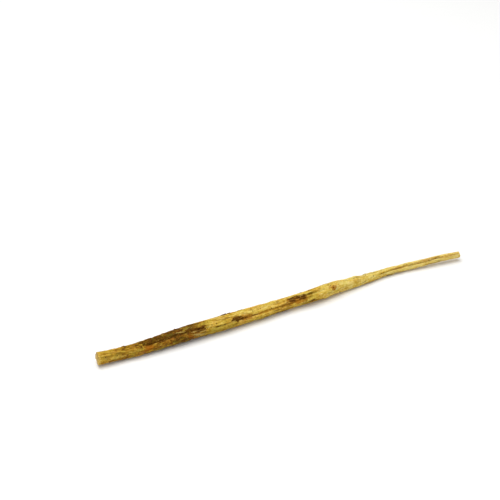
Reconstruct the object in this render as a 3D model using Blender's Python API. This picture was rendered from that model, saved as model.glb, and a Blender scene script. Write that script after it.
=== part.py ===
# A dried glehnia root lying on a flat surface: one slender piece with a knife-cut crown,
# a long taper and a snapped tip. Metres, +Z up. The crown points to -X and the tip to +X,
# the origin is under the middle of the root's box, and the surface it lies on is Z = 0.

import math
import random

import bmesh
import bpy
from mathutils import Vector, noise

# Driving dimensions
LENGTH = 0.280                # crown face to tip, straight across
RINGS = 122                   # lengths that the skin is divided into
SIDES = 44                    # facets round the root
CAP_RINGS = 3                 # rings from the rim of each end to its middle
FLOOR_BITE = 0.00016          # how deep its low points are flat where it rests
AIM_REACH = 0.004             # share of the length to each side over which its direction is taken
END = 1e-6                    # share nearer than this to an end is that end
MM = 0.001

# Diameter along the root: share of the length from the crown, millimetres
GIRTH = (
    (0.00, 9.1), (0.03, 8.8), (0.07, 9.0), (0.13, 9.5), (0.20, 10.1), (0.28, 10.4), (0.36, 10.4),
    (0.42, 9.8), (0.48, 8.9), (0.53, 8.8), (0.60, 9.35), (0.635, 9.2), (0.68, 7.9), (0.73, 6.6),
    (0.79, 5.8), (0.84, 5.4), (0.89, 5.2), (0.95, 5.1), (1.00, 4.6),
)

# Slow bends: share of the length at the middle, throw in millimetres, spread as a share
SIDE_BENDS = (
    (0.12, -1.5, 0.10), (0.30, -0.8, 0.10), (0.50, 0.7, 0.09), (0.66, 3.0, 0.07), (0.79, 6.1, 0.09),
    (0.855, 0.6, 0.035), (0.92, 2.9, 0.08),
)
LIFT_BENDS = (
    (0.00, 1.0, 0.05), (0.10, -0.10, 0.03), (0.23, 0.5, 0.07), (0.55, 1.0, 0.10), (0.725, 0.08, 0.05),
    (1.00, 2.4, 0.14),
)
FLOOR_SINK = 0.965            # share of the radius that the middle line lies above the floor

# The section across the root: an oval, and lobes that turn slowly along it.
# A lobe row has a count, a height as a share of the radius, a turn and a twist in radians.
OVAL = 0.050
LOBES = ((3, 0.034, 2.0, 5.0), (5, 0.020, 0.0, -7.0))
# An uneven row has how often it swells along the root and round it, and a height as a share of the radius.
UNEVEN = ((26, 1.3, 0.060), (62, 2.6, 0.032))

# Long furrows: first and last share, angle at each in degrees, depth and width in millimetres.
# Angles run from +Y through +Z, so 90 is the top and 180 the near side. A furrow that runs out
# over the crown starts at a share below 0, and those leave the crown's ribs standing between them.
FURROWS = (
    (-0.05, 0.13, 122, 118, 0.50, 1.3),
    (-0.05, 0.16, 147, 143, 0.60, 1.4),
    (-0.04, 0.10, 159, 157, 0.30, 0.9),
    (-0.05, 0.14, 172, 169, 0.50, 1.3),
    (-0.04, 0.12, 198, 203, 0.45, 1.5),
    (-0.04, 0.10, 226, 224, 0.30, 1.1),
    (-0.05, 0.12, 254, 250, 0.50, 1.5),
    (-0.04, 0.11, 284, 286, 0.40, 1.3),
    (-0.05, 0.14, 311, 306, 0.60, 1.7),
    (-0.04, 0.09, 342, 340, 0.35, 1.2),
    (-0.05, 0.13, 14, 18, 0.60, 1.7),
    (-0.04, 0.10, 43, 40, 0.35, 1.2),
    (-0.05, 0.15, 92, 97, 0.55, 1.6),
    (0.07, 0.30, 128, 140, 1.25, 2.3),
    (0.24, 0.58, 158, 149, 0.95, 1.5),
    (0.31, 0.60, 198, 190, 0.55, 1.4),
    (0.42, 0.62, 106, 128, 0.75, 1.8),
    (0.73, 0.98, 146, 132, 0.70, 1.5),
    (-0.06, 0.28, 66, 58, 0.75, 1.7),
    (0.20, 0.55, 20, 34, 0.90, 1.8),
    (0.05, 0.40, 228, 240, 0.80, 1.6),
    (0.38, 0.78, 318, 300, 0.80, 1.6),
    (0.08, 0.38, 330, 352, 0.75, 1.8),
    (0.64, 0.96, 24, -4, 0.55, 1.3),
    (0.58, 0.84, 84, 70, 0.50, 1.4),
)
WANDER = 5.0                  # degrees that a furrow strays to each side
WANDER_RATE = 22              # how often it strays along the root

# Scars and stumps of rootlets: share, angle, height in millimetres, radius in millimetres
KNOBS = (
    (0.630, 134, 0.85, 2.3), (0.600, 214, 0.50, 2.6), (0.180, 150, -0.45, 2.0),
    (0.363, 150, -0.60, 2.2), (0.530, 128, -0.55, 2.5), (0.130, 96, 0.65, 2.3),
    (0.460, 76, 0.60, 2.3), (0.700, 66, 0.60, 2.0), (0.825, 178, 0.40, 1.8), (0.420, 244, 0.55, 3.2),
)
SEEDED_KNOBS = 34
KNOB_SHARES = (0.04, 0.97)    # where the seeded ones may stand
KNOB_HEIGHTS = (-0.32, 0.32, 0.42)
KNOB_RADII = (1.2, 1.9)
KNOB_EDGE = 2.5               # radii from a knob's middle where it is too low to count
SEED = 20

CROWN_SLANT = (0.10, 0.16)    # tilt of the knife cut, along +Y and +Z
CROWN_DISH = 0.0009           # how far the shrunken core lies below the crown's rim
TIP_SLANT = (0.10, -0.14)
TIP_RAG = 0.0006              # unevenness of the snapped tip
TIP_GRAIN = 900               # how often it goes up and down, to the metre
TIP_RIM = 0.2                 # the unevenness at the tip's rim, as a share of that at its middle

SKIN_COLOUR = (0.60, 0.40, 0.125, 1)
FLESH_COLOUR = (0.78, 0.66, 0.40, 1)
SKIN_ROUGHNESS = 0.82
FLESH_ROUGHNESS = 0.90
END_DEPTH = 0.004             # metres from each end in which a face can be a cut one
END_FACING = 0.75             # how squarely a cut face looks along the root
SHARP_ANGLE = 50              # degrees, above which an edge is shaded sharp


def blended(table, share):
    """A value between the rows of a table of (share, value), on a curve with no overshoot."""
    for (low, first), (high, second) in zip(table, table[1:]):
        if share <= high:
            step = (share - low) / (high - low)
            return first + (second - first) * step * step * (3 - 2 * step)
    return table[-1][1]


def smooth_step(value):
    value = min(1.0, max(0.0, value))
    return value * value * (3 - 2 * value)


def swell(share, bends):
    """The sum of smooth humps, each (middle, height in millimetres, spread)."""
    total = 0.0
    for middle, height, spread in bends:
        total += height * math.exp(-(((share - middle) / spread) ** 2))
    return MM * total


def radius_at(share):
    return 0.5 * MM * blended(GIRTH, share)


def axis_at(share):
    """The root's middle line before it is centred over the origin."""
    return Vector((
        (share - 0.5) * LENGTH,
        swell(share, SIDE_BENDS),
        FLOOR_SINK * radius_at(share) + swell(share, LIFT_BENDS) - FLOOR_BITE,
    ))


def frame_at(share):
    """The middle line's point, its direction, and the two directions across it."""
    along = (axis_at(share + AIM_REACH) - axis_at(share - AIM_REACH)).normalized()
    side = Vector((-along.y, along.x, 0)).normalized()
    return axis_at(share), along, side, along.cross(side)


def turn_between(first, second):
    """The signed angle from the second to the first, in radians, between -pi and pi."""
    return (first - second + math.pi) % (2 * math.pi) - math.pi


def seeded_knobs():
    """Small scars set at random all round the root."""
    draw = random.Random(SEED)
    knobs = []
    for _ in range(SEEDED_KNOBS):
        place = (draw.uniform(*KNOB_SHARES), draw.uniform(0, 360))
        knobs.append((*place, draw.choice(KNOB_HEIGHTS), draw.uniform(*KNOB_RADII)))
    return tuple(knobs)


ALL_KNOBS = KNOBS + seeded_knobs()


def section(share, angle):
    """The oval, lobed and uneven section, as a share of the radius."""
    size = 1 + OVAL * math.cos(2 * angle)
    for count, height, turn, twist in LOBES:
        size += height * math.cos(count * angle + turn + twist * share)
    for along, around, height in UNEVEN:
        spot = Vector((share * along, around * math.cos(angle), around * math.sin(angle)))
        size += height * noise.noise(spot)
    return size


def furrow_depth(share, angle, radius):
    """How far the long furrows lie below the skin, in metres."""
    depth = 0.0
    for first, last, start, end, deep, wide in FURROWS:
        if not first < share < last:
            continue
        run = (share - first) / (last - first)
        stray = WANDER * noise.noise(Vector((share * WANDER_RATE, start, 0.5)))
        middle = math.radians(start + (end - start) * run + stray)
        off = turn_between(angle, middle) * radius / (0.5 * MM * wide)
        fade = smooth_step(4 * run) * smooth_step(4 * (1 - run))
        depth += MM * deep * fade * math.exp(-off * off)
    return depth


def knob_height(share, angle, radius):
    """Scars and swellings, raised or sunk, in metres."""
    height = 0.0
    for middle, degrees, tall, wide in ALL_KNOBS:
        along = (share - middle) * LENGTH / (MM * wide)
        if abs(along) > KNOB_EDGE:
            continue
        across = turn_between(angle, math.radians(degrees)) * radius / (MM * wide)
        height += MM * tall * math.exp(-along * along - across * across)
    return height


def skin_radius(share, angle):
    """Distance from the middle line to the skin, in metres."""
    radius = radius_at(share)
    sunk = furrow_depth(share, angle, radius)
    return radius * section(share, angle) - sunk + knob_height(share, angle, radius)


def crown_offset(across, up, part):
    """How far a point of the crown's cut face stands off the plane across the root. part is 1 at the rim."""
    slant = CROWN_SLANT[0] * across + CROWN_SLANT[1] * up
    return slant + CROWN_DISH * (1 - part * part)


def tip_offset(across, up, part):
    """The same for the snapped tip, which is a little uneven."""
    slant = TIP_SLANT[0] * across + TIP_SLANT[1] * up
    rag = TIP_RAG * noise.noise(Vector((across, up, 0)) * TIP_GRAIN)
    return slant + rag * (1 + TIP_RIM - part)


def on_root(share, angle, part):
    """The point at a share of the length and an angle. part is 1 on the skin and 0 on the middle line."""
    centre, along, side, up = frame_at(share)
    distance = part * skin_radius(share, angle)
    across, rise = distance * math.cos(angle), distance * math.sin(angle)
    offset = 0.0
    if share < END:
        offset = crown_offset(across, rise, part)
    elif share > 1 - END:
        offset = tip_offset(across, rise, part)
    return centre + side * across + up * rise + along * offset


def unit_root():
    """A cylinder of radius 1 and length 1 about Z, with rings along it and rings on its two ends."""
    mesh = bmesh.new()
    bmesh.ops.create_cone(mesh, cap_ends=True, segments=SIDES, radius1=1, radius2=1, depth=1)
    lengthways = [edge for edge in mesh.edges if abs(edge.verts[0].co.z - edge.verts[1].co.z) > 0.5]
    bmesh.ops.subdivide_edges(mesh, edges=lengthways, cuts=RINGS - 1, use_grid_fill=True)
    for _ in range(CAP_RINGS - 1):
        caps = [face for face in mesh.faces if len(face.verts) == SIDES]
        bmesh.ops.inset_individual(mesh, faces=caps, thickness=1 / CAP_RINGS)
    caps = [face for face in mesh.faces if len(face.verts) == SIDES]
    bmesh.ops.poke(mesh, faces=caps)
    return mesh


def shape_root(mesh):
    """Moves each point of the unit cylinder to its place on the root."""
    for vert in mesh.verts:
        share = vert.co.z + 0.5
        part = math.hypot(vert.co.x, vert.co.y)
        angle = math.atan2(vert.co.y, vert.co.x) if part > 1e-4 else 0.0
        vert.co = on_root(share, angle, part)


def cut_flats(mesh):
    """Takes off what lies below the surface and closes each cut with one flat face."""
    geometry = mesh.verts[:] + mesh.edges[:] + mesh.faces[:]
    floor = {"plane_co": (0, 0, 0), "plane_no": (0, 0, 1)}
    cut = bmesh.ops.bisect_plane(mesh, geom=geometry, dist=1e-6, clear_inner=True, **floor)
    rim = [item for item in cut["geom_cut"] if isinstance(item, bmesh.types.BMEdge)]
    for edge in rim:
        for vert in edge.verts:
            vert.co.z = 0.0
    bmesh.ops.holes_fill(mesh, edges=rim, sides=0)


def make_material(name, colour, roughness):
    material = bpy.data.materials.new(name)
    material.use_nodes = True
    shader = material.node_tree.nodes["Principled BSDF"]
    shader.inputs["Base Color"].default_value = colour
    shader.inputs["Roughness"].default_value = roughness
    shader.inputs["Metallic"].default_value = 0.0
    return material


def mesh_object(name, mesh, collection):
    data = bpy.data.meshes.new(name)
    mesh.to_mesh(data)
    mesh.free()
    thing = bpy.data.objects.new(name, data)
    collection.objects.link(thing)
    return thing


def centre_over_origin(data):
    """Slides the root so that the origin is under the middle of its box."""
    for axis in (0, 1):
        values = [vert.co[axis] for vert in data.vertices]
        middle = 0.5 * (min(values) + max(values))
        for vert in data.vertices:
            vert.co[axis] -= middle


def colour_ends(data):
    """Gives the crown's cut face and the snapped tip the pale flesh."""
    for face in data.polygons:
        at_end = abs(face.center.x) > 0.5 * LENGTH - END_DEPTH
        if at_end and abs(face.normal.x) > END_FACING:
            face.material_index = 1


def main():
    for thing in list(bpy.data.objects):
        bpy.data.objects.remove(thing)
    collection = bpy.data.collections.new("glehnia root")
    bpy.context.scene.collection.children.link(collection)
    mesh = unit_root()
    shape_root(mesh)
    cut_flats(mesh)
    root = mesh_object("glehnia_root", mesh, collection)
    centre_over_origin(root.data)
    root.data.materials.append(make_material("dried root skin", SKIN_COLOUR, SKIN_ROUGHNESS))
    root.data.materials.append(make_material("cut root flesh", FLESH_COLOUR, FLESH_ROUGHNESS))
    colour_ends(root.data)
    root.data.shade_smooth()
    root.data.set_sharp_from_angle(angle=math.radians(SHARP_ANGLE))


main()
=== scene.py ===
import math
import random

import bmesh
import bpy
import numpy as np
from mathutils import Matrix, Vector, noise


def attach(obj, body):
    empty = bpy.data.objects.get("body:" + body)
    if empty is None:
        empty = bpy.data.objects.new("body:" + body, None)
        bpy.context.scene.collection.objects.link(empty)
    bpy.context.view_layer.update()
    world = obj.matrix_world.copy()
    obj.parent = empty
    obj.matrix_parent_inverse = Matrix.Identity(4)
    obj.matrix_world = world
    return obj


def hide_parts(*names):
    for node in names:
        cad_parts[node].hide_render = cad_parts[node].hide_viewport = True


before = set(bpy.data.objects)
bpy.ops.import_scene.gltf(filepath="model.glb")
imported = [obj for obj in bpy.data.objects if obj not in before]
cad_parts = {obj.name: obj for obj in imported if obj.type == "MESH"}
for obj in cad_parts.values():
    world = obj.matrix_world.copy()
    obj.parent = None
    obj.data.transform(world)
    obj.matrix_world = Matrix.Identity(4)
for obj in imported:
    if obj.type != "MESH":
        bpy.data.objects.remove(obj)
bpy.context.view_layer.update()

# A dried glehnia root, peeled by hand, with scraps of bark left on it. Metres, +Z up.
# The crown, cut with a knife, points to -X and the snapped tip to +X.
# Places on the root are a share of its length from the crown and an angle round it:
# 0 is +Y, 90 the top, 180 the near side and 270 the bottom.

mm = 0.001
scene = bpy.context.scene


# Small helpers

def linear(hexText):   # an sRGB hex colour as linear RGBA
    parts = [int(hexText[i:i + 2], 16) / 255 for i in (1, 3, 5)]
    return tuple(c / 12.92 if c <= 0.04045 else ((c + 0.055) / 1.055) ** 2.4 for c in parts) + (1.0,)


def addNode(tree, kind, settings, links, output=None):   # adds a node, links it, gives an output
    node = tree.nodes.new("ShaderNode" + kind)
    for name, value in settings.items():
        if name == "stops":   # a colour ramp's rows of place and hex colour
            for place, colour in value[1:-1]:
                node.color_ramp.elements.new(place)
            for element, (place, colour) in zip(node.color_ramp.elements, value):
                element.position, element.color = place, linear(colour)
        elif isinstance(name, str) and hasattr(node, name):
            setattr(node, name, value)
        else:
            node.inputs[name].default_value = value
    for name, source in links.items():
        tree.links.new(source, node.inputs[name])
    return node.outputs[output] if output else next(socket for socket in node.outputs if socket.enabled)


def drawn(draw, ranges):   # one random number from each range
    return [draw.uniform(*limits) for limits in ranges]


def smoothStep(value):
    value = np.clip(value, 0, 1)
    return value * value * (3 - 2 * value)


def noiseAt(x, y, z):   # smooth noise, about -1 to 1
    points = np.column_stack(np.broadcast_arrays(x, y, z))
    return np.array([noise.noise(point) for point in points.tolist()])


def blended(table, share):   # a smooth curve through the rows of (share, value)
    value = np.full(np.shape(share), float(table[-1][1]))
    for (low, first), (high, second) in reversed(tuple(zip(table, table[1:]))):
        step = (share - low) / (high - low)
        value = np.where(share <= high, first + (second - first) * step * step * (3 - 2 * step), value)
    return value


def swell(share, bends):   # slow humps, each (middle, height in millimetres, spread)
    return mm * sum(height * np.exp(-((share - middle) / spread) ** 2) for middle, height, spread in bends)


def turnBetween(first, second):   # the signed angle from the second to the first
    return (first - second + math.pi) % (2 * math.pi) - math.pi


# The root's form: the same values as the CAD root, so the fine one lies where that one lies

rootForm = {
    "length": 280 * mm,
    "girth": (
        (0, 9.1), (0.03, 8.8), (0.07, 9), (0.13, 9.5), (0.2, 10.1), (0.28, 10.4), (0.36, 10.4),
        (0.42, 9.8), (0.48, 8.9), (0.53, 8.8), (0.6, 9.35), (0.635, 9.2), (0.68, 7.9), (0.73, 6.6),
        (0.79, 5.8), (0.84, 5.4), (0.89, 5.2), (0.95, 5.1), (1, 4.6)),   # share, diameter in mm
    "sideBends": ((0.12, -1.5, 0.1), (0.3, -0.8, 0.1), (0.5, 0.7, 0.09), (0.66, 3, 0.07),
                  (0.79, 6.1, 0.09), (0.855, 0.6, 0.035), (0.92, 2.9, 0.08)),
    "liftBends": ((0, 1, 0.05), (0.1, -0.1, 0.03), (0.23, 0.5, 0.07), (0.55, 1, 0.1),
                  (0.725, 0.08, 0.05), (1, 2.4, 0.14)),
    "floorSink": 0.965,
    "floorBite": 0.16 * mm,
    "oval": 0.05,
    "lobes": ((3, 0.034, 2, 5), (5, 0.02, 0, -7)),   # count, height, turn, twist
    "uneven": ((26, 1.3, 0.06), (62, 2.6, 0.032)),   # along, around, height
    # first and last share, angle at each, depth and width in mm; those from below 0 rib the crown
    "furrows": (
        (-0.05, 0.13, 122, 118, 0.5, 1.3), (-0.05, 0.16, 147, 143, 0.6, 1.4),
        (-0.04, 0.1, 159, 157, 0.3, 0.9), (-0.05, 0.14, 172, 169, 0.5, 1.3),
        (-0.04, 0.12, 198, 203, 0.45, 1.5), (-0.04, 0.1, 226, 224, 0.3, 1.1),
        (-0.05, 0.12, 254, 250, 0.5, 1.5), (-0.04, 0.11, 284, 286, 0.4, 1.3),
        (-0.05, 0.14, 311, 306, 0.6, 1.7), (-0.04, 0.09, 342, 340, 0.35, 1.2),
        (-0.05, 0.13, 14, 18, 0.6, 1.7), (-0.04, 0.1, 43, 40, 0.35, 1.2), (-0.05, 0.15, 92, 97, 0.55, 1.6),
        (0.07, 0.3, 128, 140, 1.25, 2.3), (0.24, 0.58, 158, 149, 0.95, 1.5),
        (0.31, 0.6, 198, 190, 0.55, 1.4), (0.42, 0.62, 106, 128, 0.75, 1.8),
        (0.73, 0.98, 146, 132, 0.7, 1.5), (-0.06, 0.28, 66, 58, 0.75, 1.7), (0.2, 0.55, 20, 34, 0.9, 1.8),
        (0.05, 0.4, 228, 240, 0.8, 1.6), (0.38, 0.78, 318, 300, 0.8, 1.6),
        (0.08, 0.38, 330, 352, 0.75, 1.8), (0.64, 0.96, 24, -4, 0.55, 1.3), (0.58, 0.84, 84, 70, 0.5, 1.4)),
    "furrowFade": 4,   # how soon a furrow deepens from its ends
    "furrowLine": 0.42,   # width of the line at its bottom, as a share of its own
    "furrowDeep": 1.2 * mm,   # at this depth it is shaded fully
    "wander": 5,   # degrees that it strays to each side
    "wanderRate": 22,
    "knobs": (
        (0.63, 134, 0.85, 2.3), (0.6, 214, 0.5, 2.6), (0.18, 150, -0.45, 2), (0.363, 150, -0.6, 2.2),
        (0.53, 128, -0.55, 2.5), (0.13, 96, 0.65, 2.3), (0.46, 76, 0.6, 2.3), (0.7, 66, 0.6, 2),
        (0.825, 178, 0.4, 1.8), (0.42, 244, 0.55, 3.2)),   # share, angle, height and radius in mm
    "seededKnobs": 34,
    "knobShares": (0.04, 0.97),
    "knobHeights": (-0.32, 0.32, 0.42),
    "knobRadii": (1.2, 1.9),
    "knobEdge": 2.5,   # radii out at which a knob ends
    "seed": 20,
    "crownSlant": (0.1, 0.16),
    "crownDish": 0.9 * mm,
    "tipSlant": (0.1, -0.14),
    "tipRag": 0.6 * mm,
    "tipGrain": 900,   # how often the break goes up and down, to the metre
    "tipRim": 0.2,   # its unevenness at the rim, as a share of that in the middle
    "aimReach": 0.004,   # share to each side over which the root's direction is taken
    "end": 1e-6,   # a share nearer than this to an end is that end
}


def allKnobs():
    draw = random.Random(rootForm["seed"])
    knobs = list(rootForm["knobs"])
    for _ in range(rootForm["seededKnobs"]):
        place = (draw.uniform(*rootForm["knobShares"]), draw.uniform(0, 360))
        knobs.append((*place, draw.choice(rootForm["knobHeights"]), draw.uniform(*rootForm["knobRadii"])))
    return knobs


knobRows = allKnobs()


def radiusAt(share):
    return 0.5 * mm * blended(rootForm["girth"], share)


def axisAt(share):   # the middle line, before it slides to its place
    rise = rootForm["floorSink"] * radiusAt(share) + swell(share, rootForm["liftBends"])
    rise -= rootForm["floorBite"]
    return np.column_stack(((share - 0.5) * rootForm["length"], swell(share, rootForm["sideBends"]), rise))


def frameAt(share):   # the middle line, its direction and the two directions across it
    reach = rootForm["aimReach"]
    along = axisAt(share + reach) - axisAt(share - reach)
    along /= np.linalg.norm(along, axis=1, keepdims=True)
    side = np.column_stack((-along[:, 1], along[:, 0], np.zeros(len(along))))
    side /= np.linalg.norm(side, axis=1, keepdims=True)
    return axisAt(share), along, side, np.cross(along, side)


def sectionSize(share, angle):   # the oval, lobed and uneven section, as a share of the radius
    size = 1 + rootForm["oval"] * np.cos(2 * angle)
    for count, height, turn, twist in rootForm["lobes"]:
        size += height * np.cos(count * angle + turn + twist * share)
    for along, around, height in rootForm["uneven"]:
        size += height * noiseAt(share * along, around * np.cos(angle), around * np.sin(angle))
    return size


def furrowDepth(share, angle, radius):   # the long furrows, and the line at the bottom of each
    depth, line = np.zeros(len(share)), np.zeros(len(share))
    for first, last, start, end, deep, wide in rootForm["furrows"]:
        here = (share > first) & (share < last)
        rings, back = np.unique(share[here], return_inverse=True)
        stray = rootForm["wander"] * noiseAt(rings * rootForm["wanderRate"], start, 0.5)[back]
        run = (share[here] - first) / (last - first)
        middle = np.radians(start + (end - start) * run + stray)
        off = turnBetween(angle[here], middle) * radius[here] / (0.5 * mm * wide)
        fade = smoothStep(rootForm["furrowFade"] * run) * smoothStep(rootForm["furrowFade"] * (1 - run))
        depth[here] += mm * deep * fade * np.exp(-off * off)
        line[here] = np.maximum(line[here], fade * np.exp(-(off / rootForm["furrowLine"]) ** 2))
    return depth, line


def knobHeight(share, angle, radius):
    height = np.zeros(len(share))
    for middle, degrees, tall, wide in knobRows:
        along = (share - middle) * rootForm["length"] / (mm * wide)
        here = np.abs(along) <= rootForm["knobEdge"]
        across = turnBetween(angle[here], math.radians(degrees)) * radius[here] / (mm * wide)
        height[here] += mm * tall * np.exp(-along[here] ** 2 - across ** 2)
    return height


def crownOffset(across, up, part):   # how far the knife cut stands off the plane across the root
    slant = rootForm["crownSlant"][0] * across + rootForm["crownSlant"][1] * up
    return slant + rootForm["crownDish"] * (1 - part * part)


def tipOffset(across, up, part):
    slant = rootForm["tipSlant"][0] * across + rootForm["tipSlant"][1] * up
    grain = rootForm["tipGrain"]
    ragged = rootForm["tipRag"] * noiseAt(across * grain, up * grain, 0)
    return slant + ragged * (1 + rootForm["tipRim"] - part)


def formOfRoot(share, angle):   # the CAD root's own form, and what the finer relief needs
    radius = radiusAt(share)
    furrow, line = furrowDepth(share, angle, radius)
    skin = radius * sectionSize(share, angle) - furrow + knobHeight(share, angle, radius)
    return {"radius": radius, "skin": skin, "sunk": furrow / rootForm["furrowDeep"], "line": line}


def atEnds(share):   # which points are on the crown's cut and which on the tip's break
    return share < rootForm["end"], share > 1 - rootForm["end"]


def placeOnRoot(share, angle, part, skin, extra=0.0):
    centre, along, side, up = frameAt(share)
    across = part * skin * np.cos(angle)
    rise = part * skin * np.sin(angle)
    offset = np.zeros(len(share))
    crown, tip = atEnds(share)
    offset[crown] = crownOffset(across[crown], rise[crown], part[crown])
    offset[tip] = tipOffset(across[tip], rise[tip], part[tip])
    return centre + side * across[:, None] + up * rise[:, None] + along * (offset + extra)[:, None]


def boxSlide():   # how far the form slides so that its box's middle is over the origin, as in the CAD
    rings, sides = 122, 44
    share, angle = np.meshgrid(np.linspace(0, 1, rings + 1), np.radians(np.arange(sides) * 360 / sides))
    share, angle = share.ravel(), angle.ravel()
    part = np.ones(len(share))
    points = placeOnRoot(share, angle, part, formOfRoot(share, angle)["skin"])
    points = points[points[:, 2] > 0]
    return -0.5 * (points.min(0) + points.max(0))[:2]


slide = boxSlide()
print("the form slides by", (slide / mm).round(4), "mm to its place")


# Marks on the skin, each (share, angle, half length, half width in mm, slant in degrees, strength)

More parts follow.
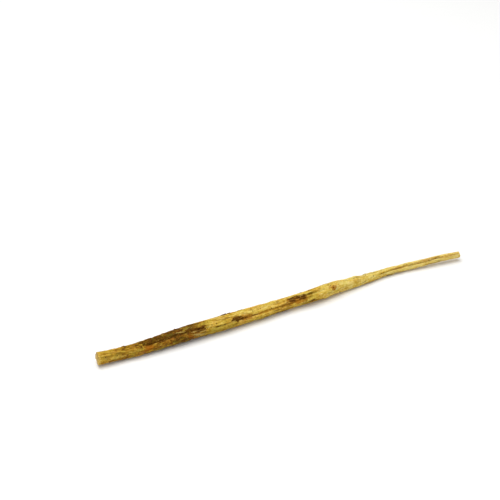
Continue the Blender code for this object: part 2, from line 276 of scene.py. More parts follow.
skinMarks = {
    "bark": (   # brown cork that the peeling left
        # The big patches along the top between shares 0.13 and 0.26 are partly bark and partly painted shade
        # of roots that lay over it.
        (0.146, 94, 11, 2.7, 2, 0.95), (0.19, 98, 6.5, 3.3, 0, 1), (0.128, 122, 4.5, 1.1, 5, 0.8),
        (0.16, 140, 4.5, 0.8, -6, 0.8), (0.2, 150, 5.2, 1.4, 0, 0.75), (0.206, 192, 5, 1.3, 0, 0.65),
        (0.232, 130, 4.2, 2.5, 10, 1), (0.258, 135, 3.6, 2, -8, 1), (0.244, 84, 6, 1.3, 5, 0.75),
        (0.24, 152, 4.5, 0.7, 0, 0.8), (0.179, 168, 0.6, 2.8, 0, 0.85), (0.302, 156, 2.4, 0.6, 2, 0.9),
        (0.359, 144, 4, 1.6, 8, 0.95), (0.388, 151, 7, 0.55, 0, 0.7), (0.527, 114, 6, 2.3, 10, 1.1),
        (0.53, 136, 4, 1.2, 6, 0.85), (0.512, 98, 3.2, 0.6, -6, 0.7), (0.516, 126, 4.6, 1.3, 0, 0.9),
        (0.558, 110, 3.2, 1.1, 4, 0.65), (0.565, 190, 5, 0.5, 2, 0.75), (0.797, 203, 3.2, 0.45, 3, 0.75),
        (0.062, 107, 0.9, 0.8, 0, 0.9), (0.1, 132, 2.4, 0.5, 8, 0.9), (0.094, 100, 1.3, 0.7, -20, 0.8),
        (0.962, 66, 3.4, 0.5, 0, 0.6), (0.205, 60, 9, 1.4, 3, 0.8), (0.33, 44, 7, 1.2, -4, 0.8),
        (0.455, 24, 10, 0.9, 2, 0.85), (0.09, 20, 6, 1.6, 0, 0.8), (0.16, 350, 8, 1.5, 5, 0.85),
        (0.3, 330, 6, 1.8, -6, 0.8), (0.54, 350, 5, 1.3, 10, 0.8), (0.64, 310, 7, 1, -3, 0.8),
        (0.11, 280, 7, 1.8, 2, 0.85), (0.23, 262, 6, 1.6, -6, 0.8), (0.39, 288, 8, 1.1, 4, 0.75),
        (0.13, 236, 8, 1, 2, 0.8), (0.27, 232, 6, 1.1, -3, 0.75), (0.48, 226, 5, 0.9, 0, 0.7),
        (0.72, 20, 6, 0.6, 0, 0.7), (0.78, 300, 5, 0.8, 4, 0.7), (0.88, 350, 6, 0.5, 0, 0.7),
    ),
    "amber": (   # orange-brown stains, where sap dried
        (0.124, 160, 3.6, 2.3, 0, 1), (0.156, 168, 6, 1.8, 0, 0.45), (0.23, 170, 2.8, 1, 0, 0.8),
        (0.49, 147, 5.5, 1.1, 3, 0.75), (0.623, 136, 2.3, 1.8, 12, 1.1), (0.615, 120, 2.4, 0.8, -38, 0.7),
        (0.697, 140, 3.4, 1.8, 0, 0.5), (0.895, 122, 11, 1.2, 0, 0.65), (0.965, 126, 9, 1.1, 0, 0.7),
        (0.826, 132, 8, 1.1, 1, 0.75), (0.925, 104, 6, 0.7, 0, 0.7), (0.42, 151, 13, 0.8, 0, 0.85),
        (0.345, 118, 5, 1.6, 0, 0.5), (0.045, 150, 8, 1.2, 0, 0.5), (0.03, 110, 6, 1, 0, 0.4),
        (0.18, 20, 10, 2, 4, 0.6), (0.42, 340, 8, 1.8, 0, 0.6), (0.6, 40, 5, 1.8, 0, 0.6),
        (0.31, 270, 9, 2, 0, 0.6), (0.56, 280, 7, 1.6, 0, 0.6), (0.86, 270, 9, 1.2, 0, 0.6),
        (0.522, 124, 8.5, 3.2, 8, 1.1), (0.375, 146, 7.5, 2.4, 4, 0.9), (0.215, 145, 13, 2, 3, 0.6),
        (0.085, 128, 5, 1.2, 0, 0.5),
    ),
    "pale": (   # bared, starchy flesh
        (0.24, 166, 3.6, 0.45, 4, 0.8), (0.252, 178, 4.6, 0.6, 0, 0.8), (0.262, 190, 3.4, 0.5, -4, 0.7),
        (0.171, 127, 2, 0.6, 0, 0.9), (0.3, 108, 9, 1.6, 0, 0.4), (0.405, 104, 15, 2, 0, 0.6),
        (0.513, 86, 3, 0.8, 0, 0.9), (0.6, 112, 6, 2.2, 0, 0.6), (0.672, 140, 9, 2.4, 0, 0.5),
        (0.745, 120, 11, 1.6, 0, 0.6), (0.05, 172, 7, 0.5, 0, 0.6), (0.03, 120, 5, 0.45, 0, 0.6),
        (0.62, 170, 7, 1.4, 0, 0.4), (0.16, 300, 8, 1.4, 0, 0.6), (0.35, 10, 9, 1.6, 0, 0.6),
        (0.47, 300, 9, 1.6, 0, 0.6), (0.69, 340, 8, 1.4, 0, 0.6), (0.66, 250, 8, 1.4, 0, 0.5),
        (0.6, 60, 9, 1.6, 0, 0.4), (0.87, 172, 14, 1.3, 0, 1.1), (0.945, 174, 9, 1.2, 0, 1.1),
        (0.822, 168, 6.5, 1.4, 0, 1.1), (0.96, 190, 8, 0.8, 0, 0.5),
    ),
    "olive": (   # greenish, weathered patches; the two long ones low on the near side, at 212 and 214 degrees, are painted shade
        (0.13, 104, 5, 1.6, 0, 0.7), (0.198, 172, 4.8, 2.4, 0, 0.8), (0.15, 96, 5.5, 1.3, 4, 0.9),
        (0.178, 108, 3, 0.9, 0, 0.7), (0.308, 176, 13, 2.4, 0, 1), (0.3, 212, 15, 2.2, 0, 0.9),
        (0.43, 214, 20, 1.8, 0, 0.8), (0.545, 204, 6.5, 2, 0, 0.9), (0.542, 160, 1.6, 0.9, 0, 0.8),
        (0.565, 110, 5, 1.6, 3, 0.9), (0.597, 114, 1, 0.7, 0, 0.9), (0.76, 190, 12, 0.8, 0, 0.4),
        (0.29, 300, 8, 1.4, 0, 0.5), (0.44, 60, 8, 1.2, 0, 0.4), (0.225, 100, 6, 1.6, 0, 0.6),
    ),
    "bared": (   # streaks where the knife went through the bark
        (0.171, 127, 2.6, 0.45, 3, 1), (0.208, 117, 3.6, 0.42, 9, 1), (0.229, 108, 2.8, 0.36, 6, 0.9),
        (0.196, 132, 3, 0.32, 2, 0.8), (0.243, 146, 3.2, 0.4, 4, 0.9), (0.15, 118, 2.6, 0.3, 4, 0.7),
        (0.262, 158, 3.4, 0.45, 0, 0.9), (0.364, 168, 3, 0.4, 2, 0.8), (0.533, 103, 2.4, 0.4, 8, 0.8),
        (0.511, 111, 1.8, 0.3, 12, 0.8), (0.16, 84, 3.4, 0.4, 3, 0.8), (0.215, 72, 3, 0.4, 0, 0.8),
        (0.15, 12, 3, 0.4, 4, 0.8), (0.235, 268, 3, 0.4, -3, 0.8),
    ),
    "pit": (   # small dark scars of fine rootlets
        (0.288, 131, 0.45, 0.6, 0, 0.9), (0.299, 131, 0.45, 0.6, 0, 0.9), (0.341, 182, 0.45, 0.5, 0, 0.8),
        (0.406, 184, 0.8, 0.45, 0, 0.9), (0.399, 114, 0.4, 0.8, 0, 0.7), (0.415, 112, 0.4, 0.8, 0, 0.7),
        (0.62, 102, 0.5, 0.45, 0, 0.9), (0.748, 140, 0.45, 0.7, 0, 0.7), (0.774, 142, 0.45, 0.7, 0, 0.7),
        (0.104, 118, 0.8, 0.55, 30, 0.7), (0.6225, 137, 0.8, 0.6, 20, 0.68),
        (0.275, 150, 0.6, 0.4, 0, 0.8), (0.32, 154, 1, 0.4, 0, 0.8), (0.15, 178, 0.6, 0.5, 0, 0.8),
        (0.205, 160, 0.6, 0.6, 0, 0.8), (0.212, 182, 0.7, 0.45, 0, 0.8), (0.252, 186, 0.45, 0.45, 0, 0.8),
        (0.236, 158, 0.45, 0.45, 0, 0.8),
    ),
}

toneAlong = (   # how pale the peeled skin is: 0 dark brown, 0.5 gold, 1 pale straw. The dark stretch near the crown is partly the skin's own tone and partly painted shade of roots that lay over it, and the pale stretch towards the tip is partly painted light
    (0, 0.46), (0.05, 0.42), (0.12, 0.3), (0.18, 0.15), (0.23, 0.15), (0.265, 0.31), (0.29, 0.58),
    (0.4, 0.63), (0.5, 0.64), (0.56, 0.62), (0.6, 0.74), (0.66, 0.82), (0.78, 0.84), (0.82, 0.84),
    (0.9, 0.86), (1, 0.82))


# Each row of noise has its length along the root and its width in mm, its strength and a shift.
# A row of patches has length, width, the middle value from 0 to 1, how far it varies, and a shift.

skinRelief = {
    "edgeNoise": ((2, 1.2, 1, 0), (0.8, 0.6, 0.7, 0)),
    "markWobble": 0.42,   # how ragged the marks' edges are, and the pits' as a share of that
    "pitWobble": 0.8,
    "markEdge": (1.3, 0.6),   # where a mark ends, in half sizes, and how softly
    "markReach": 1.8,   # a mark is looked for this far out, in half lengths and widths
    # long dried wrinkles: length, spacing and depth in mm, width as a share, how dark their painted shade is,
    # shift
    "creases": ((11, 1.5, 0.27, 0.15, 0.75, 0), (7, 0.9, 0.17, 0.2, 0.45, 31)),
    "creasePatches": (16, 4, 0.6, 1.2, 0),
    # short cracks across: length, width and depth in mm, width as a share, shift
    "crack": (1, 3, 0.08, 0.12, 7),
    "crackPatches": (9, 3, 0, 1.6, 3),
    "lineDepth": 0.13,   # mm, the sharp bottom of a furrow or rib groove
    # painted shade: the line at a furrow's bottom, the furrow itself and the wrinkles are darkened where they
    # sink in
    "lineShade": 0.8,
    "linePatches": (9, 3, 0.75, 0.9, 2),
    "furrowShade": 0.35,
    "barkLift": 0.17,   # mm
    "barkUneven": (0.75, 0.5),   # its least lift as a share, and how far that varies
    "barkGaps": ((4.5, 1.5, 1, 11), (1.6, 0.8, 0.5, 0)),
    "barkLeft": (1.15, 1.87),   # how much of it is left between the gaps, and how far that varies
    "pitDepth": 0.25,
    "roughness": 0.07,
    "roughNoise": ((1.1, 0.9, 1, 0),),
    "rim": (1.5, 1.1),   # mm of bared flesh at each end, and how softly it ends
    "rimNoise": ((1.5, 0.8, 0.8, 5),),
    "undersideShade": (250, 0.13),   # the angle of the underside, and how much darker its painted shade is
    "toneNoise": ((10, 3, 0.16, 0), (3, 1.6, 0.14, 0)),
    "scars": 340,   # seeded rootlet scars
    "scarShares": (0.015, 0.985),
    "scarRanges": ((0, 360), (0.28, 0.55), (0.4, 0.95), (0.4, 1)),   # angle, half sizes in mm, depth
    "scarDepth": 0.17,   # mm
    "scarEdge": 3,   # half lengths out at which a scar ends
    "scarRim": (1.5, 0.45, 0.35, 0.6),   # how far out, width, height and paleness, as shares
    "darkScars": 0.65,
    # seeded scraps of bark on the far side and underneath: how many, and the ranges of a mark's row
    "hiddenScraps": 46,
    "scrapRanges": ((0.02, 0.97), (238, 412), (0.7, 3.2), (0.3, 0.9), (-8, 8), (0.5, 0.9)),
    "seed": 7,
}


def seededScars():   # share, angle, half length, half width, depth as a share, and whether it is dark
    draw = random.Random(skinRelief["seed"])
    thickest = max(girth for _, girth in rootForm["girth"])
    scars = []
    while len(scars) < skinRelief["scars"]:
        share = draw.uniform(*skinRelief["scarShares"])
        girth = float(blended(rootForm["girth"], np.array(share)))
        if draw.uniform(0, thickest) < girth:   # fewer where the root is thin
            row = (share, *drawn(draw, skinRelief["scarRanges"]), draw.random() < skinRelief["darkScars"])
            scars.append(row)
    return scars


def hiddenScraps():
    draw = random.Random(skinRelief["seed"] + 1)
    return tuple(drawn(draw, skinRelief["scrapRanges"]) for _ in range(skinRelief["hiddenScraps"]))


def straightened(share, angle, radius):   # the root rolled out straight, in mm
    reach = radius / mm
    return share * rootForm["length"] / mm, reach * np.cos(angle), reach * np.sin(angle)


def layered(place, rows):   # noise on the rolled-out root
    x, y, z = place
    return sum(strength * noiseAt(x / long + shift, y / wide, z / wide)
               for long, wide, strength, shift in rows)


def comesAndGoes(place, row, more=0):   # 0 to 1, in patches
    long, wide, middle, reach, shift = row
    return smoothStep(middle + layered(place, ((long, wide, reach, shift + more),)))


def markCover(share, angle, radius, row, wobble):   # how strongly one mark covers each point, 0 to 1
    middle, degrees, halfLength, halfWidth, slant, strength = row
    cover = np.zeros(len(share))
    u = (share - middle) * rootForm["length"] / mm
    here = np.abs(u) < skinRelief["markReach"] * (halfLength + halfWidth)
    v = turnBetween(angle[here], math.radians(degrees)) * radius[here] / mm
    u = u[here]
    turn = math.radians(slant)
    along = (u * math.cos(turn) + v * math.sin(turn)) / halfLength
    across = (v * math.cos(turn) - u * math.sin(turn)) / halfWidth
    distance = np.sqrt(along ** 2 + across ** 2) + wobble[here]
    edge, soft = skinRelief["markEdge"]
    cover[here] = strength * smoothStep((edge - distance) / soft)
    return cover


def scarRelief(share, angle, radius):   # seeded rootlet scars: their relief, dark pits and pale rims
    relief, dark, pale = np.zeros(len(share)), np.zeros(len(share)), np.zeros(len(share))
    out, wide, high, paleness = skinRelief["scarRim"]
    for middle, degrees, halfLength, halfWidth, deep, isDark in seededScars():
        u = (share - middle) * rootForm["length"] / mm / halfLength
        here = np.abs(u) < skinRelief["scarEdge"]
        v = turnBetween(angle[here], math.radians(degrees)) * radius[here] / mm / halfWidth
        squared = u[here] ** 2 + v ** 2
        hollow = np.exp(-squared)
        rim = np.exp(-((np.sqrt(squared) - out) / wide) ** 2)
        relief[here] += mm * skinRelief["scarDepth"] * deep * (high * rim - hollow)
        if isDark:
            dark[here] = np.maximum(dark[here], deep * hollow)
        pale[here] = np.maximum(pale[here], paleness * deep * rim)
    return relief, dark, pale


def marksOnSkin(share, angle, radius, place):   # how strongly each kind of mark covers each point
    wobble = skinRelief["markWobble"] * layered(place, skinRelief["edgeNoise"])
    covers = {}
    for kind, rows in skinMarks.items():
        rows = rows + hiddenScraps() if kind == "bark" else rows
        ragged = skinRelief["pitWobble"] * wobble if kind == "pit" else wobble
        covers[kind] = np.maximum.reduce([markCover(share, angle, radius, row, ragged) for row in rows])
    least, varies = skinRelief["barkLeft"]
    covers["bark"] *= smoothStep(least + varies * layered(place, skinRelief["barkGaps"]))
    return covers


def skinDetail(share, angle, form):   # relief in metres and the masks that the skin's colours use
    place = straightened(share, angle, form["radius"])
    detail = marksOnSkin(share, angle, form["radius"], place)

    relief = -mm * skinRelief["lineDepth"] * form["line"]
    # painted shade along the lines at the furrows' bottoms and in the wrinkles
    crease = skinRelief["lineShade"] * form["line"] * comesAndGoes(place, skinRelief["linePatches"])
    for long, apart, deep, wide, dark, shift in skinRelief["creases"]:
        wave = layered(place, ((long, apart, 1, shift),))
        line = np.exp(-(wave / wide) ** 2) * comesAndGoes(place, skinRelief["creasePatches"], shift)
        relief -= mm * deep * line
        crease = np.maximum(crease, line * dark)
    long, broad, deep, wide, shift = skinRelief["crack"]
    wave = layered(place, ((long, broad, 1, shift),))
    detail["crack"] = np.exp(-(wave / wide) ** 2) * comesAndGoes(place, skinRelief["crackPatches"])
    relief -= mm * deep * detail["crack"]

    rough = layered(place, skinRelief["roughNoise"])
    least, varies = skinRelief["barkUneven"]
    relief += mm * skinRelief["barkLift"] * detail["bark"] * (least + varies * rough)
    relief += mm * skinRelief["roughness"] * rough * (1 - detail["bark"])
    relief -= mm * skinRelief["pitDepth"] * detail["pit"]
    scars, dark, pale = scarRelief(share, angle, form["radius"])
    detail["pit"] = np.maximum(detail["pit"], dark)
    detail["pale"] = np.maximum(detail["pale"], pale)
    # painted shade in the furrows, the deeper the darker
    furrow = skinRelief["furrowShade"] * np.clip(form["sunk"], 0, 1) ** 2
    detail["crease"] = np.clip(np.maximum(crease, furrow), 0, 1)
    detail["relief"] = relief + scars

    edge, soft = skinRelief["rim"]
    ragged = edge * (1 + layered(place, skinRelief["rimNoise"]))
    end = np.minimum(share, 1 - share) * rootForm["length"] / mm
    detail["bared"] = np.maximum(detail["bared"], smoothStep((ragged - end) / soft))
    # painted shade: the skin is darkened towards its underside, where less light reaches
    lowest, darker = skinRelief["undersideShade"]
    underneath = 0.5 + 0.5 * np.cos(angle - math.radians(lowest))
    tone = blended(toneAlong, share) - darker * underneath ** 2
    detail["tone"] = tone + layered(place, skinRelief["toneNoise"])
    return detail


# The fine root: a cylinder with rings, shaped by the same formulas and the finer relief

rootBuild = {
    "rings": 960,
    "sides": 96,
    "capRings": 14,
    "middle": 1e-4,   # within this share of the radius a point has no angle
    "skinPart": 0.999,   # and beyond this one it is on the skin
    "sharp": 55,   # degrees, above which an edge isn't smoothed
    "clear": 0.06 * mm,   # the least height of loose pieces over the floor
}

crownCut = {
    "rounding": 6,   # how soon the rings of the cut get round, going inwards
    "corkRing": (0.9, 0.1, 0.05),   # where the cortex ends as a share of the radius, rise in mm, softness
    "cambium": (0.56, 0.05, 0.12),   # share of the radius, width, depth in mm
    # angle, first and last share of the radius, depth and width in mm
    "slits": ((31, 0.2, 0.58, 0.4, 0.12), (104, 0.05, 0.42, 0.45, 0.16), (163, 0.46, 0.8, 0.3, 0.1),
              (222, 0.12, 0.5, 0.4, 0.13), (296, 0.5, 0.86, 0.35, 0.12), (338, 0.1, 0.36, 0.3, 0.1)),
    "slitTurn": 0.25,   # radians that a slit turns from the pith to the skin
    "slitFade": 0.1,
    "pith": (0.1, 0.35),   # share of the radius, depth in mm
    "knife": (0.06, 0.9, -35, 2),   # height and spacing of the blade's marks in mm, slant, noise shift
    "grain": (0.1, 0.6, 4),   # height and size in mm, noise shift
}

tipFibres = (0.34, 0.45, 9)   # height and size of the fibres' torn ends in mm, noise shift

rimStrays = {
    "crown": (0.55, 4, 1.6),   # how far its rim strays, how deep that goes in mm, how often round it
    "tip": (0.7, 3, 2.2),
    "waves": ((1, 1, 3), (0.35, 3, 8)),   # strength, how often as a multiple, noise shift
}


def roundedPart(part, form):   # inside, the rings of the cut are rounder than its outline
    return part * (1 + (form["skin"] / form["radius"] - 1) * (1 - part ** crownCut["rounding"]))


def crownDetail(across, up, part, angle):   # shrinkage on the knife cut, in metres along the root
    place, wide, deep = crownCut["cambium"]
    offset = deep * np.exp(-((part - place) / wide) ** 2)
    ring, rise, soft = crownCut["corkRing"]
    offset -= rise * smoothStep((part - ring) / soft)
    soft = crownCut["slitFade"]
    for degrees, first, last, deep, wide in crownCut["slits"]:
        middle = math.radians(degrees) + crownCut["slitTurn"] * part
        off = turnBetween(angle, middle) * np.hypot(across, up) / (mm * wide)
        fade = smoothStep((last - part) / soft) * smoothStep((part - first) / soft)
        offset += deep * fade * np.exp(-off * off)
    hollow, deep = crownCut["pith"]
    offset += deep * np.exp(-(part / hollow) ** 2)
    height, apart, slant, shift = crownCut["knife"]
    sweep = across * math.cos(math.radians(slant)) + up * math.sin(math.radians(slant))
    offset += height * np.sin(2 * math.pi * sweep / (apart * mm) + noiseAt(across / mm, up / mm, shift))
    height, size, shift = crownCut["grain"]
    grain = height * noiseAt(across / (size * mm), up / (size * mm), shift)
    return mm * (offset + grain * (part < rootBuild["skinPart"]))


def tipDetail(across, up):   # torn ends of the fibres, in metres along the root
    height, size, shift = tipFibres
    return mm * height * noiseAt(across / (size * mm), up / (size * mm), shift)


def rimStray(share, angle, part):   # the uneven rims of both ends, in metres along the root
    stray = np.zeros(len(share))
    for end, height, deep, often in ((0, *rimStrays["crown"]), (1, *rimStrays["tip"])):
        fade = 1 - smoothStep(np.abs(share - end) * rootForm["length"] / (deep * mm))
        wave = sum(strength * noiseAt(often * more * np.cos(angle), often * more * np.sin(angle), shift + end)
                   for strength, more, shift in rimStrays["waves"])
        stray += mm * height * fade * part ** 2 * wave
    return stray


def unitRoot():
    mesh = bmesh.new()
    sides = rootBuild["sides"]
    bmesh.ops.create_cone(mesh, cap_ends=True, segments=sides, radius1=1, radius2=1, depth=1)
    lengthways = [edge for edge in mesh.edges if abs(edge.verts[0].co.z - edge.verts[1].co.z) > 0.5]
    bmesh.ops.subdivide_edges(mesh, edges=lengthways, cuts=rootBuild["rings"] - 1, use_grid_fill=True)
    for _ in range(rootBuild["capRings"] - 1):
        caps = [face for face in mesh.faces if len(face.verts) == sides]
        bmesh.ops.inset_individual(mesh, faces=caps, thickness=1 / rootBuild["capRings"])
    bmesh.ops.poke(mesh, faces=[face for face in mesh.faces if len(face.verts) == sides])
    return mesh


def newObject(name, mesh, *materials):
    data = bpy.data.meshes.new(name)
    mesh.to_mesh(data)
    mesh.free()
    piece = bpy.data.objects.new(name, data)
    scene.collection.objects.link(piece)
    for material in materials:
        data.materials.append(material)
    return piece


def wear(piece):   # the piece belongs to the root
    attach(piece, "root")


def addAttribute(data, name, values):
    vector = values.ndim == 2
    attribute = data.attributes.new(name, "FLOAT_VECTOR" if vector else "FLOAT", "POINT")
    attribute.data.foreach_set("vector" if vector else "value", values.astype(np.float32).ravel())


def keepValues(data, share, angle, reach, detail):   # what the skin's colours read
    addAttribute(data, "straight", np.column_stack(straightened(share, angle, reach)))
    for name in ("bark", "amber", "pale", "olive", "pit", "crease", "crack", "bared", "tone"):
        addAttribute(data, name, detail[name])


def fineRoot(skin, flesh):
    root = newObject("peeledRoot", unitRoot(), skin, flesh)
    data = root.data
    unit = np.empty(len(data.vertices) * 3, np.float32)
    data.vertices.foreach_get("co", unit)
    unit = unit.reshape(-1, 3).astype(float)
    share = np.clip(unit[:, 2] + 0.5, 0, 1)
    part = np.minimum(np.hypot(unit[:, 0], unit[:, 1]), 1)
    angle = np.where(part > rootBuild["middle"], np.arctan2(unit[:, 1], unit[:, 0]), 0)
    form = formOfRoot(share, angle)
    detail = skinDetail(share, angle, form)
    skinReach = form["skin"] + detail["relief"]
    across = part * skinReach * np.cos(angle)
    up = part * skinReach * np.sin(angle)
    extra = np.zeros(len(share))
    crown, tip = atEnds(share)
    rounded = roundedPart(part, form)
    extra[crown] = crownDetail(across[crown], up[crown], rounded[crown], angle[crown])
    extra[tip] = tipDetail(across[tip], up[tip])
    place = placeOnRoot(share, angle, part, skinReach, extra + rimStray(share, angle, part))
    place[:, :2] += slide
    place[:, 2] = np.maximum(place[:, 2], 0)
    data.vertices.foreach_set("co", place.astype(np.float32).ravel())

    keepValues(data, share, angle, part * form["skin"], detail)
    addAttribute(data, "cutPart", rounded)

    inner = part < rootBuild["skinPart"]
    cuts = [int(any(inner[vert] for vert in face.vertices)) for face in data.polygons]
    data.polygons.foreach_set("material_index", cuts)
    data.shade_smooth()
    data.set_sharp_from_angle(angle=math.radians(rootBuild["sharp"]))
    data.update()
    return root


def onSkin(share, angle, lift):   # points that stand off the fine root's skin by lift
    form = formOfRoot(share, angle)
    detail = skinDetail(share, angle, form)
    place = placeOnRoot(share, angle, np.ones(len(share)), form["skin"] + detail["relief"] + lift)
    place[:, :2] += slide
    place[:, 2] = np.maximum(place[:, 2], rootBuild["clear"])
    return place, form, detail


# Thin sheets that lie on the skin: flakes of bark and peels of skin that the knife left

flakes = {
    "count": 70,
    "tries": 1200,
    "barkNeeded": 0.6,
    "places": ((0.03, 0.97), (-60, 235)),   # share and angle
    # half length and width in mm, slant in degrees, curl in mm
    "sizes": ((0.9, 2.6), (0.5, 1.25), (-16, 16), (0.03, 0.3)),
    "lift": 0.1,   # mm
    "thick": 0.1,
    "grid": (17, 11),
    "ragged": 0.75,
    "seed": 3,
    "paler": 0,   # how much paler they are than the skin round them
}

peels = {
    # share, angle, half length, half width in mm, slant in degrees, curl in mm
    "rows": (
        (0.171, 128, 2.8, 0.34, -3, 0.35), (0.512, 88, 3.2, 0.5, 4, 0.45), (0.506, 80, 2.4, 0.34, -6, 0.3),
        (0.012, 100, 3, 0.26, 2, 0.5), (0.02, 152, 2.8, 0.24, -4, 0.4), (0.034, 205, 3.4, 0.28, 2, 0.45),
        (0.27, 140, 2, 0.3, -8, 0.35), (0.398, 132, 3, 0.28, 2, 0.3), (0.585, 150, 2.2, 0.3, 6, 0.35),
        (0.118, 200, 2.6, 0.34, -4, 0.35), (0.3, 60, 3, 0.36, 3, 0.4), (0.45, 40, 3.2, 0.34, -3, 0.35),
        (0.07, 10, 2.8, 0.38, 2, 0.45), (0.215, 336, 2.8, 0.36, 4, 0.35), (0.66, 30, 2.4, 0.28, -3, 0.3),
        (0.35, 210, 2.4, 0.3, 2, 0.28), (0.018, 330, 2.4, 0.36, 2, 0.45), (0.06, 70, 2.4, 0.32, 3, 0.4)),
    "lift": 0.02,
    "thick": 0.07,
    "grid": (17, 5),
    "ragged": 0.35,
    "seed": 11,
    "paler": 0.14,
}

sheetShape = {   # of both kinds, where a sheet goes from -1 to 1 along and across
    "waves": 1.7,   # how often it waves
    "nibbles": (4.5, 3.5, 9, 0.7),   # how often its edge is nibbled both ways, noise shift, strength
    "outline": (3, 0.8),   # power and reach of its rounded outline
    "smooth": 0.6,
    "swells": 0.3,   # how far its width follows the waves
    "curl": (2.5, 0.35, 0.25),   # power of an end's rise, and what its sides and the waves add
    "shares": (0.001, 0.999),   # no sheet goes beyond these
}


def sheetsOnSkin(name, rows, settings, material):
    # a row has share, angle, half length, half width, slant and curl; each sheet starts as a grid
    mesh = bmesh.new()
    share, angle, rise = [mesh.verts.layers.float.new(word) for word in ("share", "angle", "rise")]
    draw = random.Random(settings["seed"])
    often = sheetShape["waves"]
    oftenAlong, oftenAcross, more, nibbled = sheetShape["nibbles"]
    power, reach = sheetShape["outline"]
    endPower, sides, waves = sheetShape["curl"]
    for middle, degrees, halfLength, halfWidth, slant, curl in rows:
        cells = settings["grid"]
        made = bmesh.ops.create_grid(mesh, x_segments=cells[0], y_segments=cells[1], size=1)["verts"]
        radius = float(radiusAt(np.array(middle))) / mm
        turn, shift, end = math.radians(slant), draw.uniform(0, 99), draw.choice((-1, 1))
        for vert in made:
            a, b, _ = vert.co
            vert.co.z = noise.noise(Vector((often * a, often * b, shift)))
            sharp = noise.noise(Vector((oftenAlong * a, oftenAcross * b, shift + more)))
            ragged = settings["ragged"] * (vert.co.z + nibbled * sharp)
            vert.tag = abs(a) ** power + abs(b) ** power > reach + ragged
        bmesh.ops.delete(mesh, geom=[vert for vert in made if vert.tag], context="VERTS")
        made = [vert for vert in made if vert.is_valid]
        bmesh.ops.delete(mesh, geom=[vert for vert in made if not vert.link_faces], context="VERTS")
        made = [vert for vert in made if vert.is_valid]
        outline = [vert for vert in made if vert.is_boundary]
        bmesh.ops.smooth_vert(mesh, verts=outline, factor=sheetShape["smooth"],
                              use_axis_x=True, use_axis_y=True)
        for vert in made:
            a, b, coarse = vert.co
            u, v = a * halfLength, b * halfWidth * (1 + sheetShape["swells"] * coarse)
            vert[share] = middle + (u * math.cos(turn) - v * math.sin(turn)) * mm / rootForm["length"]
            vert[angle] = math.radians(degrees) - (u * math.sin(turn) + v * math.cos(turn)) / radius
            lifted = max(0, 0.5 * (a * end + 1)) ** endPower + sides * b * b + waves * coarse
            vert[rise] = settings["lift"] + curl * lifted
    shares, angles, lifts = (np.array([vert[layer] for vert in mesh.verts]) for layer in (share, angle, rise))
    shares = np.clip(shares, *sheetShape["shares"])
    points, form, detail = onSkin(shares, angles, mm * lifts)
    for vert, point in zip(mesh.verts, points):
        vert.co = point
    piece = newObject(name, mesh, material)
    detail["tone"] += settings["paler"]
    keepValues(piece.data, shares, angles, form["skin"], detail)
    solid = piece.modifiers.new("thickness", "SOLIDIFY")
    solid.thickness = settings["thick"] * mm
    solid.offset = 0
    piece.data.shade_smooth()
    wear(piece)


def barkFlakeRows():   # flakes stand where the bark is
    draw = random.Random(flakes["seed"])
    tries = [drawn(draw, flakes["places"]) for _ in range(flakes["tries"])]
    share, angle = np.array(tries).T
    angle = np.radians(angle)
    cover = skinDetail(share, angle, formOfRoot(share, angle))["bark"]
    found = [row for row, amount in zip(tries, cover) if amount > flakes["barkNeeded"]]
    return [row + drawn(draw, flakes["sizes"]) for row in found[:flakes["count"]]]


# Loose fibres, and the stumps of rootlets

fibres = {
    # count, first and last share of their roots, shortest and longest in mm, and the ways they point
    "groups": ((14, 0.006, 0.05, 1.2, 3.5, (0,)), (36, 0.05, 0.96, 2, 6.5, (0, math.pi)),
               (12, 0.984, 0.997, 0.8, 2.2, (0,))),
    "angles": (-50, 225),
    "stray": (-0.35, 0.35),   # radians off the way they point
    "sizes": ((0.15, 1.1), (0.028, 0.05), (-0.7, 0.7)),   # rise and radius in mm, bend in radians
    "curve": (1.7, 0.03),   # power of the rise, and mm that the root end is in the skin
    "taper": 0.6,
    "points": 9,
    "shares": (0.002, 0.998),   # beyond these a fibre leaves the skin and goes straight on
    "seed": 5,
}

stumps = {
    # share, angle, radius and length in mm
    "rows": (
        (0.104, 117, 0.46, 0.8), (0.236, 70, 0.4, 0.7), (0.42, 112, 0.32, 0.6), (0.561, 66, 0.4, 0.7),
        (0.64, 196, 0.34, 0.6), (0.2, 30, 0.44, 0.8), (0.33, 350, 0.4, 0.7), (0.7, 96, 0.3, 0.5),
        (0.48, 330, 0.4, 0.7), (0.06, 60, 0.44, 0.8)),
    "points": 6,
    "lean": 1.1,   # how far it goes along the root, as a share of its length
    "arch": 1.4,   # radians of a sine that it rises by
    "sunk": 0.35,   # mm that its root end is in the skin
    "taper": (1.3, 0.75),   # its radius at the root end, and how much of it goes, as shares
}


def strands(name, paths, material):   # paths are lists of (point, radius)
    curve = bpy.data.curves.new(name, "CURVE")
    curve.dimensions = "3D"
    curve.bevel_depth = 1
    curve.bevel_resolution = 1
    curve.use_fill_caps = True
    for path in paths:
        spline = curve.splines.new("POLY")
        spline.points.add(len(path) - 1)
        for knot, (point, radius) in zip(spline.points, path):
            knot.co = (*point, 1)
            knot.radius = radius
    piece = bpy.data.objects.new(name, curve)
    scene.collection.objects.link(piece)
    curve.materials.append(material)
    wear(piece)


